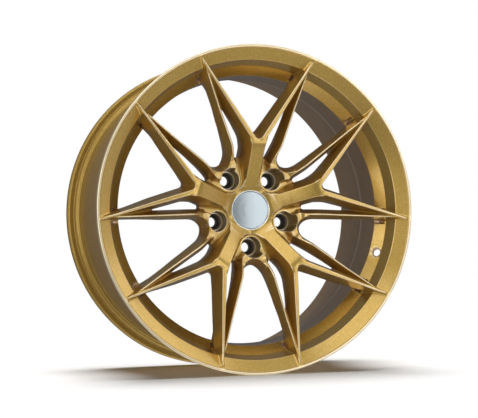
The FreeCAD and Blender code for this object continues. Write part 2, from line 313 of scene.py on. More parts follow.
def brace_field(x, z, depth, radius):
    """A brace with the raised foot that it stands on, outside the lug."""
    along, offset = line_coordinates(x, z, BRACE_START, BRACE_ANGLE)
    ridge = np.interp(
        along,
        [-28, -24, -19, -14, -7, 0, 30, 60, 95, 115, 140],
        [29.5, 28.6, 24.6, 19.4, 13.0, 9.6, 8.6, 8.0, 4.2, 2.4, 1.0],
    )
    below = np.clip(depth - ridge, 0.0, 21.5)
    outer_reach = np.interp(along, [0, 40, 75, 100], [0.26, 0.25, 0.16, 0.12])
    outer = (offset - 0.95 - outer_reach * below) * 0.965
    inner = (-offset - 0.95 - 0.34 * below) * 0.95
    bar = np.maximum(np.maximum(outer, inner), -along - 30.0)
    side = FOOT_SIDE - x - 0.25 * (depth - 29.5)
    wall = np.interp(depth, [0, 30, 50, 68, 85], [71.5, 71.5, 82, 79, 75])
    foot = soft_max(side, (radius - wall) * 0.92, 1.5)
    foot = np.maximum(foot, 50.0 - radius)
    share = np.clip((offset + 3.0) / 6.0, 0.0, 1.0)
    deep = np.clip((depth - 30.0) / 20.0, 0.0, 1.0)
    walls = soft_min(bar, foot, 4.5 + (17.0 - 5.0 * deep) * share)
    field = soft_max(walls, (ridge - depth) * 0.8, 0.9)
    return soft_max(field, depth - back_depth(radius), 2.0)


def recess_field(x, z, depth, radius):
    """The square-ended pocket milled in the shoulder round each branch's root."""
    turn = np.arctan2(x, z) - math.radians(20.6)
    sides = (np.abs(turn) - math.radians(3.1)) * radius
    wall = radius - 217.2 + 0.24 * (depth - 33.7)
    field = soft_max(sides, wall, 1.2)
    return soft_max(field, depth - 46.8, 1.2)


def lug_field(x, z, depth):
    """The pocket of the lug between two spokes, and the scallop that it leaves in them."""
    turn = SECTOR / 2
    away = np.hypot(x - LUG_CIRCLE_R * math.sin(turn), z - LUG_CIRCLE_R * math.cos(turn))
    rise = LUG_SEAT_DEPTH - depth
    pocket = soft_max(away - SEAT_INSERT_R - 0.115 * rise, -rise, 0.4)
    through = away - SEAT_INSERT_R
    scallop = away - LUG_CLEARANCE_R
    return np.minimum(pocket, through), scallop


def relief_field(x, z, depth):
    """The blind pocket in the mounting face behind each spoke."""
    sides = np.abs(x) - np.interp(z, [44, 70], [6.5, 13.0])
    ends = np.maximum(45.0 - z, z - 69.0)
    return soft_max(soft_max(sides, ends, 4.0), 75.0 - depth, 2.0)


def valve_field(turn, radius, depth):
    """The valve hole, square to the shoulder, with a shallow spot face."""
    down = np.array(WELL_FRONT) - np.array(SHOULDER_TOP)
    down /= np.linalg.norm(down)
    across = np.sin(turn) * radius
    out_r = np.cos(turn) * radius - VALVE_AT[0]
    out_d = depth - VALVE_AT[1]
    along_slope = out_r * down[0] + out_d * down[1]
    into = out_r * down[1] - out_d * down[0]
    away = np.hypot(across, along_slope)
    front_spot = np.maximum(away - 7.5, into - 1.0)
    back_spot = np.maximum(away - 9.5, 5.5 - into)
    hole = np.maximum(away - VALVE_HOLE_R, np.abs(into) - 25.0)
    return np.minimum(np.minimum(front_spot, back_spot), hole)


def face_field(turn, radius, depth):
    """The whole face of the wheel. turn is the angle from +Z towards +X, in radians."""
    folded = np.mod(turn + SECTOR / 2, SECTOR) - SECTOR / 2
    x = np.abs(np.sin(folded)) * radius
    z = np.cos(folded) * radius
    pocket, scallop = lug_field(x, z, depth)
    spoke = soft_max(spoke_field(x, z, depth, radius), -scallop, 1.3)
    hub = HUB_SECTION.at(radius, depth)
    solid = soft_min(spoke, hub, 3.0)
    solid = soft_min(solid, brace_field(x, z, depth, radius), 2.0)
    within = radius - np.interp(
        depth, [-2, 0.4, 11.6, 19, 33.7, 37, 47.3], [243.5, 243.2, 230, 226, 223, 221, 211]
    )
    solid = np.maximum(solid, within)
    rim = RIM_SECTION.at(radius, depth)
    rim = soft_max(rim, -recess_field(x, z, depth, radius), 1.0)
    solid = soft_min(solid, rim, 2.2)
    solid = np.maximum(solid, LIP_FRONT - depth)  # the blend at a branch tip would stand proud
    solid = soft_max(solid, -pocket, 0.8)
    solid = soft_max(solid, -relief_field(x, z, depth), 1.0)
    valve = valve_field(turn - VALVE_TURN - SECTOR, radius, depth)
    return soft_max(solid, -valve, 0.5)


# ---- from field to mesh -------------------------------------------------------------------
def sampled_sector(turns, radii, depths):
    """The field over half a spoke's sector, worked out a slab at a time."""
    slabs = []
    for turn in turns:
        r, d = np.meshgrid(radii, depths, indexing="ij")
        slabs.append(face_field(np.full(r.shape, turn), r, d))
    return np.array(slabs)


def whole_turn(half):
    """Mirrors half a sector and repeats it round the wheel."""
    back = half[1:-1][::-1]
    sector = np.concatenate([half, back])
    return np.concatenate([sector] * SPOKES)


def surface_net(values):
    """Points and quads of the zero surface, in grid steps. The first axis goes round."""
    wrapped = np.concatenate([values, values[:1]])
    inside = wrapped < 0
    count = np.zeros([n - 1 for n in wrapped.shape], np.int8)
    corners = [(a, b, c) for a in (0, 1) for b in (0, 1) for c in (0, 1)]
    for a, b, c in corners:
        count += inside[a : a + count.shape[0], b : b + count.shape[1], c : c + count.shape[2]]
    cells = np.argwhere((count > 0) & (count < 8))
    ids = np.full(count.shape, -1, np.int32)
    ids[tuple(cells.T)] = np.arange(len(cells))
    at = {k: wrapped[cells[:, 0] + k[0], cells[:, 1] + k[1], cells[:, 2] + k[2]] for k in corners}
    total = np.zeros((len(cells), 3))
    hits = np.zeros(len(cells))
    for start in corners:
        for axis in range(3):
            if start[axis]:
                continue
            end = tuple(1 if i == axis else v for i, v in enumerate(start))
            a, b = at[start], at[end]
            crosses = (a < 0) != (b < 0)
            share = np.where(crosses, a / np.where(crosses, a - b, 1.0), 0.0)
            point = np.array(start, float) + share[:, None] * np.eye(3)[axis]
            total += point * crosses[:, None]
            hits += crosses
    points = cells + total / hits[:, None]
    quads = []
    for axis in range(3):
        low = inside[:-1] if axis else inside
        first = low[tuple(slice(None, -1) if i == axis else slice(None) for i in range(3))]
        second = low[tuple(slice(1, None) if i == axis else slice(None) for i in range(3))]
        edges = np.argwhere(first != second)
        solid_first = first[tuple(edges.T)]
        u, v = [i for i in range(3) if i != axis]
        keep = np.ones(len(edges), bool)
        for i in (u, v):
            if i != 0:
                keep &= (edges[:, i] > 0) & (edges[:, i] < wrapped.shape[i] - 1)
        edges, solid_first = edges[keep], solid_first[keep]
        ring = []
        for du, dv in ((0, 0), (1, 0), (1, 1), (0, 1)):
            cell = edges.copy()
            cell[:, u] -= du
            cell[:, v] -= dv
            cell[:, 0] %= count.shape[0]
            ring.append(ids[tuple(cell.T)])
        ring = np.stack(ring, 1)
        flip = ~solid_first if axis == 1 else solid_first
        ring[flip] = ring[flip][:, ::-1]
        quads.append(ring)
    return points, np.concatenate(quads)


def to_polar(points):
    """Turn, radius and depth of points given as x, z and depth."""
    x, z, depth = points[:, 0], points[:, 1], points[:, 2]
    return np.arctan2(x, z), np.hypot(x, z), depth


def field_at(points):
    return face_field(*to_polar(points))


def edge_sharpness(points, step=1.0):
    """How strongly the surface curves outwards, one over the radius in millimetres."""
    total = -6 * field_at(points)
    for axis in range(3):
        for side in (-step, step):
            moved = points.copy()
            moved[:, axis] += side
            total += field_at(moved)
    return total / step**2


def field_slope(points, step=0.15):
    slope = np.empty_like(points)
    for axis in range(3):
        shift = np.zeros(3)
        shift[axis] = step
        slope[:, axis] = (field_at(points + shift) - field_at(points - shift)) / (2 * step)
    return slope


def settle(points, free, longest=0.8):
    """Moves the free points onto the zero surface along the field's own slope."""
    for _ in range(2):
        here = points[free]
        slope = field_slope(here)
        size = np.maximum((slope * slope).sum(1), 0.2)
        step = -field_at(here)[:, None] * slope / size[:, None]
        length = np.linalg.norm(step, axis=1)
        step *= np.minimum(1.0, longest / np.maximum(length, 1e-9))[:, None]
        points[free] = here + step
    return points


def to_frame(points):
    """From x, z, depth in millimetres to metres in the row's frame."""
    return np.stack(
        [points[:, 0] * MM, points[:, 2] * MM + DATUM_Y, points[:, 1] * MM], axis=1
    )


def from_frame(points):
    return np.stack(
        [points[:, 0] / MM, points[:, 2] / MM, (points[:, 1] - DATUM_Y) / MM], axis=1
    )


def points_of(thing):
    """A mesh's points as x, z and depth."""
    points = np.empty(len(thing.data.vertices) * 3, np.float32)
    thing.data.vertices.foreach_get("co", points)
    return from_frame(points.reshape(-1, 3).astype(float))


def mesh_object(name, points, faces, smooth=True):
    mesh = bpy.data.meshes.new(name)
    mesh.vertices.add(len(points))
    mesh.vertices.foreach_set("co", np.asarray(points, np.float32).ravel())
    sizes = np.array([len(face) for face in faces])
    starts = np.concatenate([[0], np.cumsum(sizes)[:-1]])
    mesh.loops.add(int(sizes.sum()))
    mesh.loops.foreach_set("vertex_index", np.concatenate([np.asarray(f) for f in faces]))
    mesh.polygons.add(len(faces))
    mesh.polygons.foreach_set("loop_start", starts)
    mesh.polygons.foreach_set("use_smooth", np.full(len(faces), smooth))
    mesh.update(calc_edges=True)
    mesh.validate()
    thing = bpy.data.objects.new(name, mesh)
    bpy.context.scene.collection.objects.link(thing)
    return thing


def apply_modifiers(thing):
    bpy.context.view_layer.update()
    result = bpy.data.meshes.new_from_object(
        thing.evaluated_get(bpy.context.evaluated_depsgraph_get())
    )
    thing.modifiers.clear()
    old = thing.data
    thing.data = result
    bpy.data.meshes.remove(old)


def sample_valve(values, turn_step, radii, depths):
    """Samples the turns round the valve hole by themselves, as only one sector has it."""
    first, last = (int(math.radians(angle) / turn_step) for angle in VALVE_SPAN)
    near = radii > 200
    grid = np.meshgrid(np.arange(first, last) * turn_step, radii[near], depths, indexing="ij")
    values[first:last, near] = face_field(*grid)


def build_face():
    """The hub, spokes, braces and the front of the rim, as one skin."""
    step = 1.2
    half_cells = 116
    turn_step = SECTOR / 2 / half_cells
    turns = np.arange(half_cells + 1) * turn_step
    radii = np.linspace(*FIELD_R, int((FIELD_R[1] - FIELD_R[0]) / step) + 1)
    depths = np.linspace(FIELD_FRONT, WELL_REAR[1], int((WELL_REAR[1] - FIELD_FRONT) / step) + 1)
    values = whole_turn(sampled_sector(turns, radii, depths).astype(np.float32))
    sample_valve(values, turn_step, radii, depths)
    steps, quads = surface_net(values)
    turn = steps[:, 0] * turn_step
    radius = np.interp(steps[:, 1], np.arange(len(radii)), radii)
    depth = np.interp(steps[:, 2], np.arange(len(depths)), depths)
    points = np.stack([np.sin(turn) * radius, np.cos(turn) * radius, depth], 1)
    # The open rear edge goes onto the two circles that the rim shell starts from.
    rear = (steps[:, 2] > len(depths) - 2) & (radius > 195)
    points = settle(points, ~rear)
    middle = (WELL_OUTSIDE_R + WELL_REAR[0]) / 2
    edge_radius = np.where(radius > middle, WELL_OUTSIDE_R, WELL_REAR[0])[rear]
    points[rear, 0] = np.sin(turn[rear]) * edge_radius
    points[rear, 1] = np.cos(turn[rear]) * edge_radius
    points[rear, 2] = WELL_REAR[1]
    face = mesh_object("forged_face", to_frame(points), quads)
    thin = face.modifiers.new("fewer", "DECIMATE")
    thin.ratio = min(1.0, FACE_TRIANGLES / (2 * len(quads)))
    apply_modifiers(face)
    return face


def set_field_normals(thing):
    """Shading normals straight from the field, so fillets shade smoothly."""
    mesh = thing.data
    slope = field_slope(points_of(thing))
    slope /= np.maximum(np.linalg.norm(slope, axis=1), 1e-9)[:, None]
    normals = np.stack([slope[:, 0], slope[:, 2], slope[:, 1]], 1)
    mesh.shade_smooth()
    mesh.normals_split_custom_set_from_vertices(normals.tolist())


# ---- turned pieces ------------------------------------------------------------------------
def turned_points(profile, rounds):
    """Points and faces of a profile of (radius, depth) turned about the axle."""
    points = []
    rows = []
    for radius, depth in profile:
        first = len(points)
        around = 1 if radius < 1e-6 else rounds
        for step in range(around):
            turn = 2 * math.pi * step / rounds
            points.append((math.sin(turn) * radius, math.cos(turn) * radius, depth))
        rows.append((first, around))
    return points, rows


def turned_piece(name, profile, rounds=288, closed=True):
    """A solid ring, or with closed=False its skin without the closing strip."""
    area = sum(
        a[0] * b[1] - b[0] * a[1] for a, b in zip(profile, profile[1:] + profile[:1])
    )
    points, rows = turned_points(profile, rounds)
    pairs = list(zip(rows, rows[1:]))
    if closed:
        pairs.append((rows[-1], rows[0]))
    faces = []
    for (a, a_round), (b, b_round) in pairs:
        if a_round == 1 and b_round == 1:
            continue
        for step in range(rounds):
            after = (step + 1) % rounds
            ring = [a + step % a_round, a + after % a_round, b + after % b_round, b + step % b_round]
            if a_round == 1:
                ring.pop(1)
            if b_round == 1:
                ring.pop(3)
            faces.append(ring if area > 0 else ring[::-1])
    return mesh_object(name, to_frame(np.array(points)), faces)


def weighted_normals(thing, sharp=45):
    """Broad faces keep flat shading and the narrow bevels between them turn smoothly."""
    thing.data.set_sharp_from_angle(angle=math.radians(sharp))
    weigh = thing.modifiers.new("normals", "WEIGHTED_NORMAL")
    weigh.weight = 80
    weigh.keep_sharp = True
    apply_modifiers(thing)


def build_barrel():
    """The barrel, rear bead seat and rear flange, from the drop centre back."""
    outline = [
        (WELL_OUTSIDE_R, WELL_REAR[1]),
        (WELL_OUTSIDE_R, 90.0),
        (226.2, 199.0),
        (228.2, 203.8),
        (228.9, 219.0),
        (BEAD_SEAT_R, 221.0),
        (BEAD_SEAT_R, 227.95),
        (243.0, 227.95),
        (FLANGE_R, 232.0),
        (FLANGE_R, 240.0),
        (243.9, 242.0),
        (241.0, 242.0),
        (227.0, 236.5),
        (224.5, 235.0),
        (220.9, 200.0),
        WELL_REAR,
    ]
    radii = [0, 8, 6, 3, 3, 6, 2, 4, 4, 2, 1, 2, 3, 1.5, 20, 0]
    return turned_piece("rim_shell", rounded(outline, radii), 288, False)


def build_seats(rounds=72):
    """The machined conical seats of the five bolt holes, as one piece of five rings."""
    tip = LUG_SEAT_DEPTH + (LUG_SEAT_R - LUG_HOLE_R) / math.tan(math.radians(30))
    front = LUG_SEAT_DEPTH - 0.35
    back = MOUNT_FACE - 0.05
    outside = SEAT_INSERT_R + 0.12
    corners = [
        (LUG_HOLE_R, back),
        (LUG_HOLE_R, tip),
        (LUG_SEAT_R - 0.4, LUG_SEAT_DEPTH + 0.5),
        (LUG_SEAT_R, front),
        (outside, front),
        (outside, back),
    ]
    ring_points, rows = turned_points(rounded(corners, [0.5, 0.6, 0.3, 0.2, 0.3, 0.3]), rounds)
    ring_points = np.array(ring_points)
    points, faces = [], []
    for lug in range(SPOKES):
        turn = (lug + 0.5) * SECTOR
        centre = [LUG_CIRCLE_R * math.sin(turn), LUG_CIRCLE_R * math.cos(turn), 0.0]
        first = len(points) * len(ring_points)
        points.append(ring_points + np.array(centre))
        for (a, _), (b, _) in zip(rows, rows[1:] + rows[:1]):
            for step in range(rounds):
                after = (step + 1) % rounds
                ring = [a + step, a + after, b + after, b + step]
                faces.append([first + corner for corner in ring])
    seats = mesh_object("lug_seats", to_frame(np.concatenate(points)), faces)
    recalculate_outside(seats)
    return seats


def recalculate_outside(thing):
    shape = bmesh.new()
    shape.from_mesh(thing.data)
    bmesh.ops.recalc_face_normals(shape, faces=shape.faces)
    shape.to_mesh(thing.data)
    shape.free()


def cap_disc_profile():
    """The shallow dome of the cap's face, with a small lip at its edge."""
    corners = [
        (0.0, CAP_FRONT),
        (10.0, CAP_FRONT + 0.16),
        (20.0, CAP_FRONT + 0.66),
        (27.4, CAP_FRONT + 1.24),
        (28.2, CAP_FRONT + 1.45),
        (28.6, CAP_SEAT),
        (0.0, CAP_SEAT),
    ]
    return rounded(corners, [0, 60, 60, 1.0, 0.1, 0, 0])


def cap_ring_profile():
    corners = [
        (28.7, CAP_SEAT),
        (28.7, CAP_FRONT + 0.7),
        (29.15, CAP_FRONT),
        (29.6, CAP_FRONT),
        (CAP_BASE_R, CAP_FRONT + 0.5),
        (CAP_BASE_R, CAP_SEAT),
    ]
    return rounded(corners, [0, 0.1, 0.15, 0.15, 0.15, 0])


def cap_base_profile():
    back = CAP_FRONT + 3.6
    corners = [
        (0.0, CAP_SEAT),
        (CAP_BASE_R, CAP_SEAT),
        (CAP_BASE_R, back),
        (28.5, back),
        (26.5, back),
        (0.0, back),
    ]
    return rounded(corners, [0, 0.2, 0.3, 0, 0.8, 0])


def wire_profile(sides=16):
    angles = np.arange(sides) * (2 * math.pi / sides)
    return [
        (WIRE_RING_R + WIRE_R * math.cos(angle), WIRE_DEPTH + WIRE_R * math.sin(angle))
        for angle in angles
    ]


def build_legs(start, end):
    """Curved spring legs with chamfered tips."""
    points, faces = [], []
    outer, inner, gap = 28.5, 26.5, 4.5
    section = [
        (outer, start),
        (outer, end - 1.2),
        (outer - 0.7, end),
        (inner + 0.4, end),
        (inner, end - 0.6),
        (inner, start),
    ]
    count = len(section)
    span = 2 * math.pi / LEG_COUNT
    edge = math.asin(gap / outer)
    for leg in range(LEG_COUNT):
        turns = np.linspace(edge, span - edge, 13) + leg * span + math.pi / 2
        first = len(points)
        for turn in turns:
            for radius, depth in section:
                points.append((math.sin(turn) * radius, math.cos(turn) * radius, depth))
        for step in range(len(turns) - 1):
            for i in range(count):
                j = (i + 1) % count
                a = first + step * count
                faces.append([a + i, a + j, a + count + j, a + count + i])
        faces.append([first + i for i in range(count)][::-1])
        faces.append([first + (len(turns) - 1) * count + i for i in range(count)])
    legs = mesh_object("cap_spring_legs", to_frame(np.array(points)), faces)
    weighted_normals(legs, 30)
    return legs


# ---- materials ----------------------------------------------------------------------------
class Shader:
    """Small helper round one material's nodes."""

    def __init__(self, name):
        self.material = bpy.data.materials.new(name)
        self.material.use_nodes = True
        self.nodes = self.material.node_tree.nodes
        self.links = self.material.node_tree.links
        self.surface = self.nodes["Principled BSDF"]

    def add(self, kind, **values):
        node = self.nodes.new(kind)
        for key, value in values.items():
            if key in node.inputs:
                node.inputs[key].default_value = value
            else:
                setattr(node, key, value)
        return node

    def join(self, output, target):
        self.links.new(output, target)

    def set(self, **values):
        for key, value in values.items():
            self.surface.inputs[key.replace("_", " ")].default_value = value

    def place(self):
        return self.add("ShaderNodeTexCoord").outputs["Object"]

    def noise(self, scale, detail=2.0, rough=0.5):
        node = self.add("ShaderNodeTexNoise")
        node.inputs["Scale"].default_value = scale
        node.inputs["Detail"].default_value = detail
        node.inputs["Roughness"].default_value = rough
        self.join(self.place(), node.inputs["Vector"])
        return node.outputs["Fac"]

    def ramp(self, factor, *stops):
        node = self.add("ShaderNodeValToRGB")
        elements = node.color_ramp.elements
        while len(elements) < len(stops):
            elements.new(0.5)
        for element, (position, colour) in zip(elements, stops):
            element.position = position
            element.color = (*colour, 1.0)
        self.join(factor, node.inputs["Fac"])
        return node.outputs["Color"]

    def mix(self, factor, first, second):
        node = self.add("ShaderNodeMix", data_type="RGBA")
        self.join(factor, node.inputs[0])
        for socket, value in ((node.inputs[6], first), (node.inputs[7], second)):
            if isinstance(value, tuple):
                socket.default_value = (*value, 1.0)
            else:
                self.join(value, socket)
        return node.outputs[2]

    def spread(self, factor, low, high):
        node = self.add("ShaderNodeMapRange")
        node.inputs["To Min"].default_value = low
        node.inputs["To Max"].default_value = high
        self.join(factor, node.inputs["Value"])
        return node.outputs["Result"]

    def attribute(self, name):
        return self.add("ShaderNodeAttribute", attribute_name=name).outputs["Fac"]

    def beyond_radius(self, radius, blend=0.0006):
        """0 inside this distance from the axle, in metres, and 1 outside it."""
        flat = self.add("ShaderNodeVectorMath", operation="MULTIPLY")
        flat.inputs[1].default_value = (1.0, 0.0, 1.0)
        self.join(self.place(), flat.inputs[0])
        away = self.add("ShaderNodeVectorMath", operation="LENGTH")
        self.join(flat.outputs["Vector"], away.inputs[0])
        step = self.add("ShaderNodeMapRange")
        step.inputs["From Min"].default_value = radius - blend
        step.inputs["From Max"].default_value = radius + blend
        self.join(away.outputs["Value"], step.inputs["Value"])
        return step.outputs["Result"]

    def within_band(self, middle, half):
        """1 where the object's own Y lies close to this place, in metres, and 0 elsewhere."""
        split = self.add("ShaderNodeSeparateXYZ")
        self.join(self.place(), split.inputs["Vector"])
        offset = self.add("ShaderNodeMath", operation="SUBTRACT")
        offset.inputs[1].default_value = middle
        self.join(split.outputs["Y"], offset.inputs[0])
        away = self.add("ShaderNodeMath", operation="ABSOLUTE")
        self.join(offset.outputs["Value"], away.inputs[0])
        fall = self.add("ShaderNodeMapRange")
        fall.inputs["From Min"].default_value = half
        fall.inputs["From Max"].default_value = 0.3 * half
        self.join(away.outputs["Value"], fall.inputs["Value"])
        return fall.outputs["Result"]

    def colour(self, output):
        self.join(output, self.surface.inputs["Base Color"])

    def roughness(self, low, high, scale, detail=2.0):
        """Roughness that wanders between two values on a noise of this scale."""
        wander = self.spread(self.noise(scale, detail), low, high)
        self.join(wander, self.surface.inputs["Roughness"])

    def bump(self, height, strength, distance):
        node = self.add("ShaderNodeBump")
        node.inputs["Strength"].default_value = strength
        node.inputs["Distance"].default_value = distance
        self.join(height, node.inputs["Height"])
        self.join(node.outputs["Normal"], self.surface.inputs["Normal"])


GOLD = (0.56, 0.355, 0.068)
GOLD_LOW = (0.49, 0.305, 0.05)
GOLD_FLAKE = (0.69, 0.47, 0.13)
GOLD_DRIFT = (0.54, 0.34, 0.075)
REAR_FLANGE_SHADE_GOLD = (0.36, 0.225, 0.04)  # the rear flange's gold, painted darker as shade
REAR_FLANGE_SHADE_GOLD_LOW = (0.28, 0.17, 0.026)
# painted highlight: cream put on convex edges and on the lip's outer land
PAINTED_HIGHLIGHT_CREAM = (0.96, 0.80, 0.50)
# painted shade: the brown that stands in for shade deep inside the wheel and on walls that face away
PAINTED_SHADE_BROWN = (0.52, 0.34, 0.19)
PAINTED_SHADE_BROWN_DARK = (0.44, 0.28, 0.15)
BARE = (0.62, 0.56, 0.46)
BARE_DARK = (0.5, 0.44, 0.35)
LIGHT_LINE = (0.74, 0.64, 0.54)

LIP_HIGHLIGHT_R = 0.2417  # metres, the lip is painted with a cream highlight outside of this radius
BARREL_INSIDE_R = 0.2088  # metres, parts the barrel's inside from its tyre side at the line
STEP_LINE_Y = -0.016  # the lighter line inside the barrel, behind the drop centre


def flaked(paint, low, middle, high):
    """Three tones of a metallic paint's flake."""
    return paint.ramp(paint.noise(750, 3.0), (0.36, low), (0.5, middle), (0.64, high))


def gold_paint():
    """Metallic gold paint with fine flake, with brown painted shade deep inside the wheel and cream
    painted highlights.
    """
    paint = Shader("gold_metallic_paint")
    flake = flaked(paint, GOLD_LOW, GOLD, GOLD_FLAKE)
    toned = paint.mix(paint.spread(paint.noise(9), 0.0, 0.25), flake, GOLD_DRIFT)
    # painted shade: brown for the parts deep inside the wheel
    deep = paint.mix(paint.noise(60, 3.0), PAINTED_SHADE_BROWN, PAINTED_SHADE_BROWN_DARK)
    colour = paint.mix(paint.attribute("deep_painted_shade"), toned, deep)
    # painted highlight: cream mixed in along convex edges
    colour = paint.mix(paint.attribute("edge"), colour, PAINTED_HIGHLIGHT_CREAM)
    # painted highlight: the lip's outer land is all cream
    colour = paint.mix(paint.beyond_radius(LIP_HIGHLIGHT_R), colour, PAINTED_HIGHLIGHT_CREAM)
    bare = paint.mix(paint.noise(400), BARE, BARE_DARK)
    paint.colour(paint.mix(paint.attribute("bare_metal"), colour, bare))
    paint.roughness(0.25, 0.33, 1400, 1.0)
    paint.set(Metallic=0.78, Coat_Weight=0.7, Coat_Roughness=0.12)
    paint.bump(paint.noise(900), 0.06, 0.0002)
    return paint.material


def barrel_paint():
    """The rim's shell: brown painted shade, a lighter line inside, and gold painted darker as shade
    at the rear flange.
    """
    paint = Shader("barrel_painted_shade")
    flake = flaked(paint, REAR_FLANGE_SHADE_GOLD_LOW, REAR_FLANGE_SHADE_GOLD, GOLD_LOW)
    deep = paint.mix(paint.noise(60, 3.0), PAINTED_SHADE_BROWN, PAINTED_SHADE_BROWN_DARK)
    # painted shade: brown on the shell, darker gold on the rear flange's outside
    colour = paint.mix(paint.attribute("deep_painted_shade"), flake, deep)
    # a lighter colour along one band on the barrel's inside
    turned = paint.mix(paint.beyond_radius(BARREL_INSIDE_R), LIGHT_LINE, deep)
    paint.colour(paint.mix(paint.within_band(STEP_LINE_Y, 0.005), colour, turned))
    paint.roughness(0.34, 0.46, 1400, 1.0)
    paint.set(Metallic=0.75, Coat_Weight=0.35, Coat_Roughness=0.2)
    paint.bump(paint.noise(900), 0.06, 0.0002)
    return paint.material


def machined_seat():
    """Bare turned metal, cream bright on the flat rim of each seat and painted dark grey as shade
    inside.
    """
    metal = Shader("machined_lug_seat")
    grain = metal.noise(700)
    bright = metal.mix(grain, (0.80, 0.74, 0.62), (0.90, 0.85, 0.75))
    # painted shade: the cone and bore are coloured near black for the shade inside the hole
    dark = metal.mix(grain, (0.115, 0.108, 0.095), (0.16, 0.15, 0.13))
    metal.colour(metal.mix(metal.attribute("seat_painted_shade"), bright, dark))
    metal.roughness(0.3, 0.45, 900)
    metal.set(Metallic=0.85)
    return metal.material


def cap_metal():
    """Pale satin aluminium with a faint circular grain."""
    metal = Shader("cap_satin_aluminium")
    grain = metal.add("ShaderNodeTexWave", wave_type="RINGS", rings_direction="Y")
    grain.inputs["Scale"].default_value = 700
    grain.inputs["Distortion"].default_value = 0.4
    metal.join(metal.place(), grain.inputs["Vector"])
    rings = grain.outputs["Fac"]
    metal.colour(metal.ramp(rings, (0.0, (0.40, 0.46, 0.49)), (1.0, (0.46, 0.52, 0.55))))
    metal.roughness(0.2, 0.28, 500)
    metal.set(Metallic=0.85)
    metal.bump(rings, 0.03, 0.0001)
    return metal.material


def bright_metal():
    metal = Shader("cap_bright_chrome")
    metal.colour(metal.ramp(metal.noise(120), (0.3, (0.80, 0.81, 0.83)), (0.7, (0.88, 0.89, 0.9))))
    metal.roughness(0.08, 0.16, 600)
    metal.set(Metallic=1.0)
    return metal.material


def black_plastic():
    plastic = Shader("cap_black_plastic")
    grain = plastic.noise(800, 3.0)
    plastic.colour(plastic.ramp(grain, (0.3, (0.018, 0.018, 0.02)), (0.7, (0.035, 0.035, 0.038))))
    plastic.roughness(0.42, 0.6, 1200)
    plastic.bump(plastic.noise(1500), 0.15, 0.0002)
    return plastic.material


def spring_wire():
    wire = Shader("cap_spring_wire")
    wire.colour(wire.ramp(wire.noise(300), (0.3, (0.42, 0.42, 0.43)), (0.7, (0.56, 0.56, 0.57))))
    wire.roughness(0.22, 0.34, 900)
    wire.set(Metallic=1.0)
    return wire.material


def give(thing, material):
    thing.data.materials.clear()
    thing.data.materials.append(material)


def point_values(thing, name, values):
    attribute = thing.data.attributes.new(name, "FLOAT", "POINT")
    attribute.data.foreach_set("value", np.asarray(values, np.float32))


def mark_face(face):
    """Where brown painted shade and cream painted highlights go, and where the mounting face is bare
    metal.
    """
    where = points_of(face)
    _, radius, depth = to_polar(where)
    # painted shade: browner further back, on the spokes' lower walls, in the well and on the tyre
    # side
    thin = np.clip((depth - 20) / 20, 0, 1) * np.clip((radius - 60) / 40, 0, 1)
    on_rim = np.abs(RIM_SECTION.at(radius, depth)) < 0.8
    inside = radius < np.interp(depth, [-2, 12, 34, 47, 90], [243.5, 232, 224, 207.5, 207])
    thin = np.where(on_rim & inside, np.clip(depth - 47.0, 0, 1), thin)
    thin = np.where(on_rim & ~inside, np.clip((depth - 18.0) / 8.0, 0, 1), thin)
    bare = (depth > MOUNT_FACE - 0.4) & (radius < 77)
    # painted highlight: convex edges get a cream colour that stands in for light caught on them
    edge_highlight = np.clip((edge_sharpness(where) - 0.36) / 0.2, 0, 1)
    point_values(face, "edge", edge_highlight * (1 - thin))
    point_values(face, "deep_painted_shade", thin * thin * (3 - 2 * thin))
    point_values(face, "bare_metal", bare)


def mark_barrel(shell):
    """Brown painted shade everywhere but on the outside of the rear flange, which is gold painted
    darker as shade.
    """
    _, radius, depth = to_polar(points_of(shell))
    inner = radius < np.interp(depth, [87, 200, 235, 245], [206, 223, 226, 226])
    # painted shade: only the rear flange's outside keeps the darker gold, the rest gets the brown
    rear = np.clip((depth - 191) / 10, 0, 1) * ~inner
    point_values(shell, "deep_painted_shade", 1.0 - rear)


def mark_seats(seats):
    """The cone and the bore of each seat, behind its flat rim, which are painted dark as shade."""
    depth = points_of(seats)[:, 2]
    point_values(seats, "seat_painted_shade", np.clip((depth - LUG_SEAT_DEPTH - 0.2) / 0.6, 0, 1))


# ---- camera, floor and light --------------------------------------------------------------
def place_camera():
    """The photograph's viewpoint, which looks at the middle of the datum plane."""
    lens = bpy.data.cameras.new("camera")
    lens.sensor_width = 36.0
    lens.lens = LENS
    lens.shift_x, lens.shift_y = CAMERA_SHIFT
    camera = bpy.data.objects.new("camera", lens)
    bpy.context.scene.collection.objects.link(camera)
    sideways = math.sin(CAMERA_AROUND) * math.cos(CAMERA_ABOVE)
    forwards = -math.cos(CAMERA_AROUND) * math.cos(CAMERA_ABOVE)
    out = Vector((sideways, forwards, math.sin(CAMERA_ABOVE)))
    camera.location = Vector((0.0, DATUM_Y, 0.0)) + out * CAMERA_AWAY
    level = (-out).to_track_quat("-Z", "Y").to_matrix().to_4x4()
    roll = Matrix.Rotation(CAMERA_ROLL, 4, "Z")
    camera.matrix_world = Matrix.Translation(camera.location) @ level @ roll
    bpy.context.scene.camera = camera


def soft_light(name, location, size, power):
    """A rectangular light that faces the middle of the wheel."""
    light = bpy.data.lights.new(name, "AREA")
    light.shape = "RECTANGLE"
    light.size, light.size_y = size
    light.energy = power
    thing = bpy.data.objects.new(name, light)
    bpy.context.scene.collection.objects.link(thing)
    thing.location = location
    thing.rotation_euler = (-Vector(location)).to_track_quat("-Z", "Y").to_euler()
    return thing


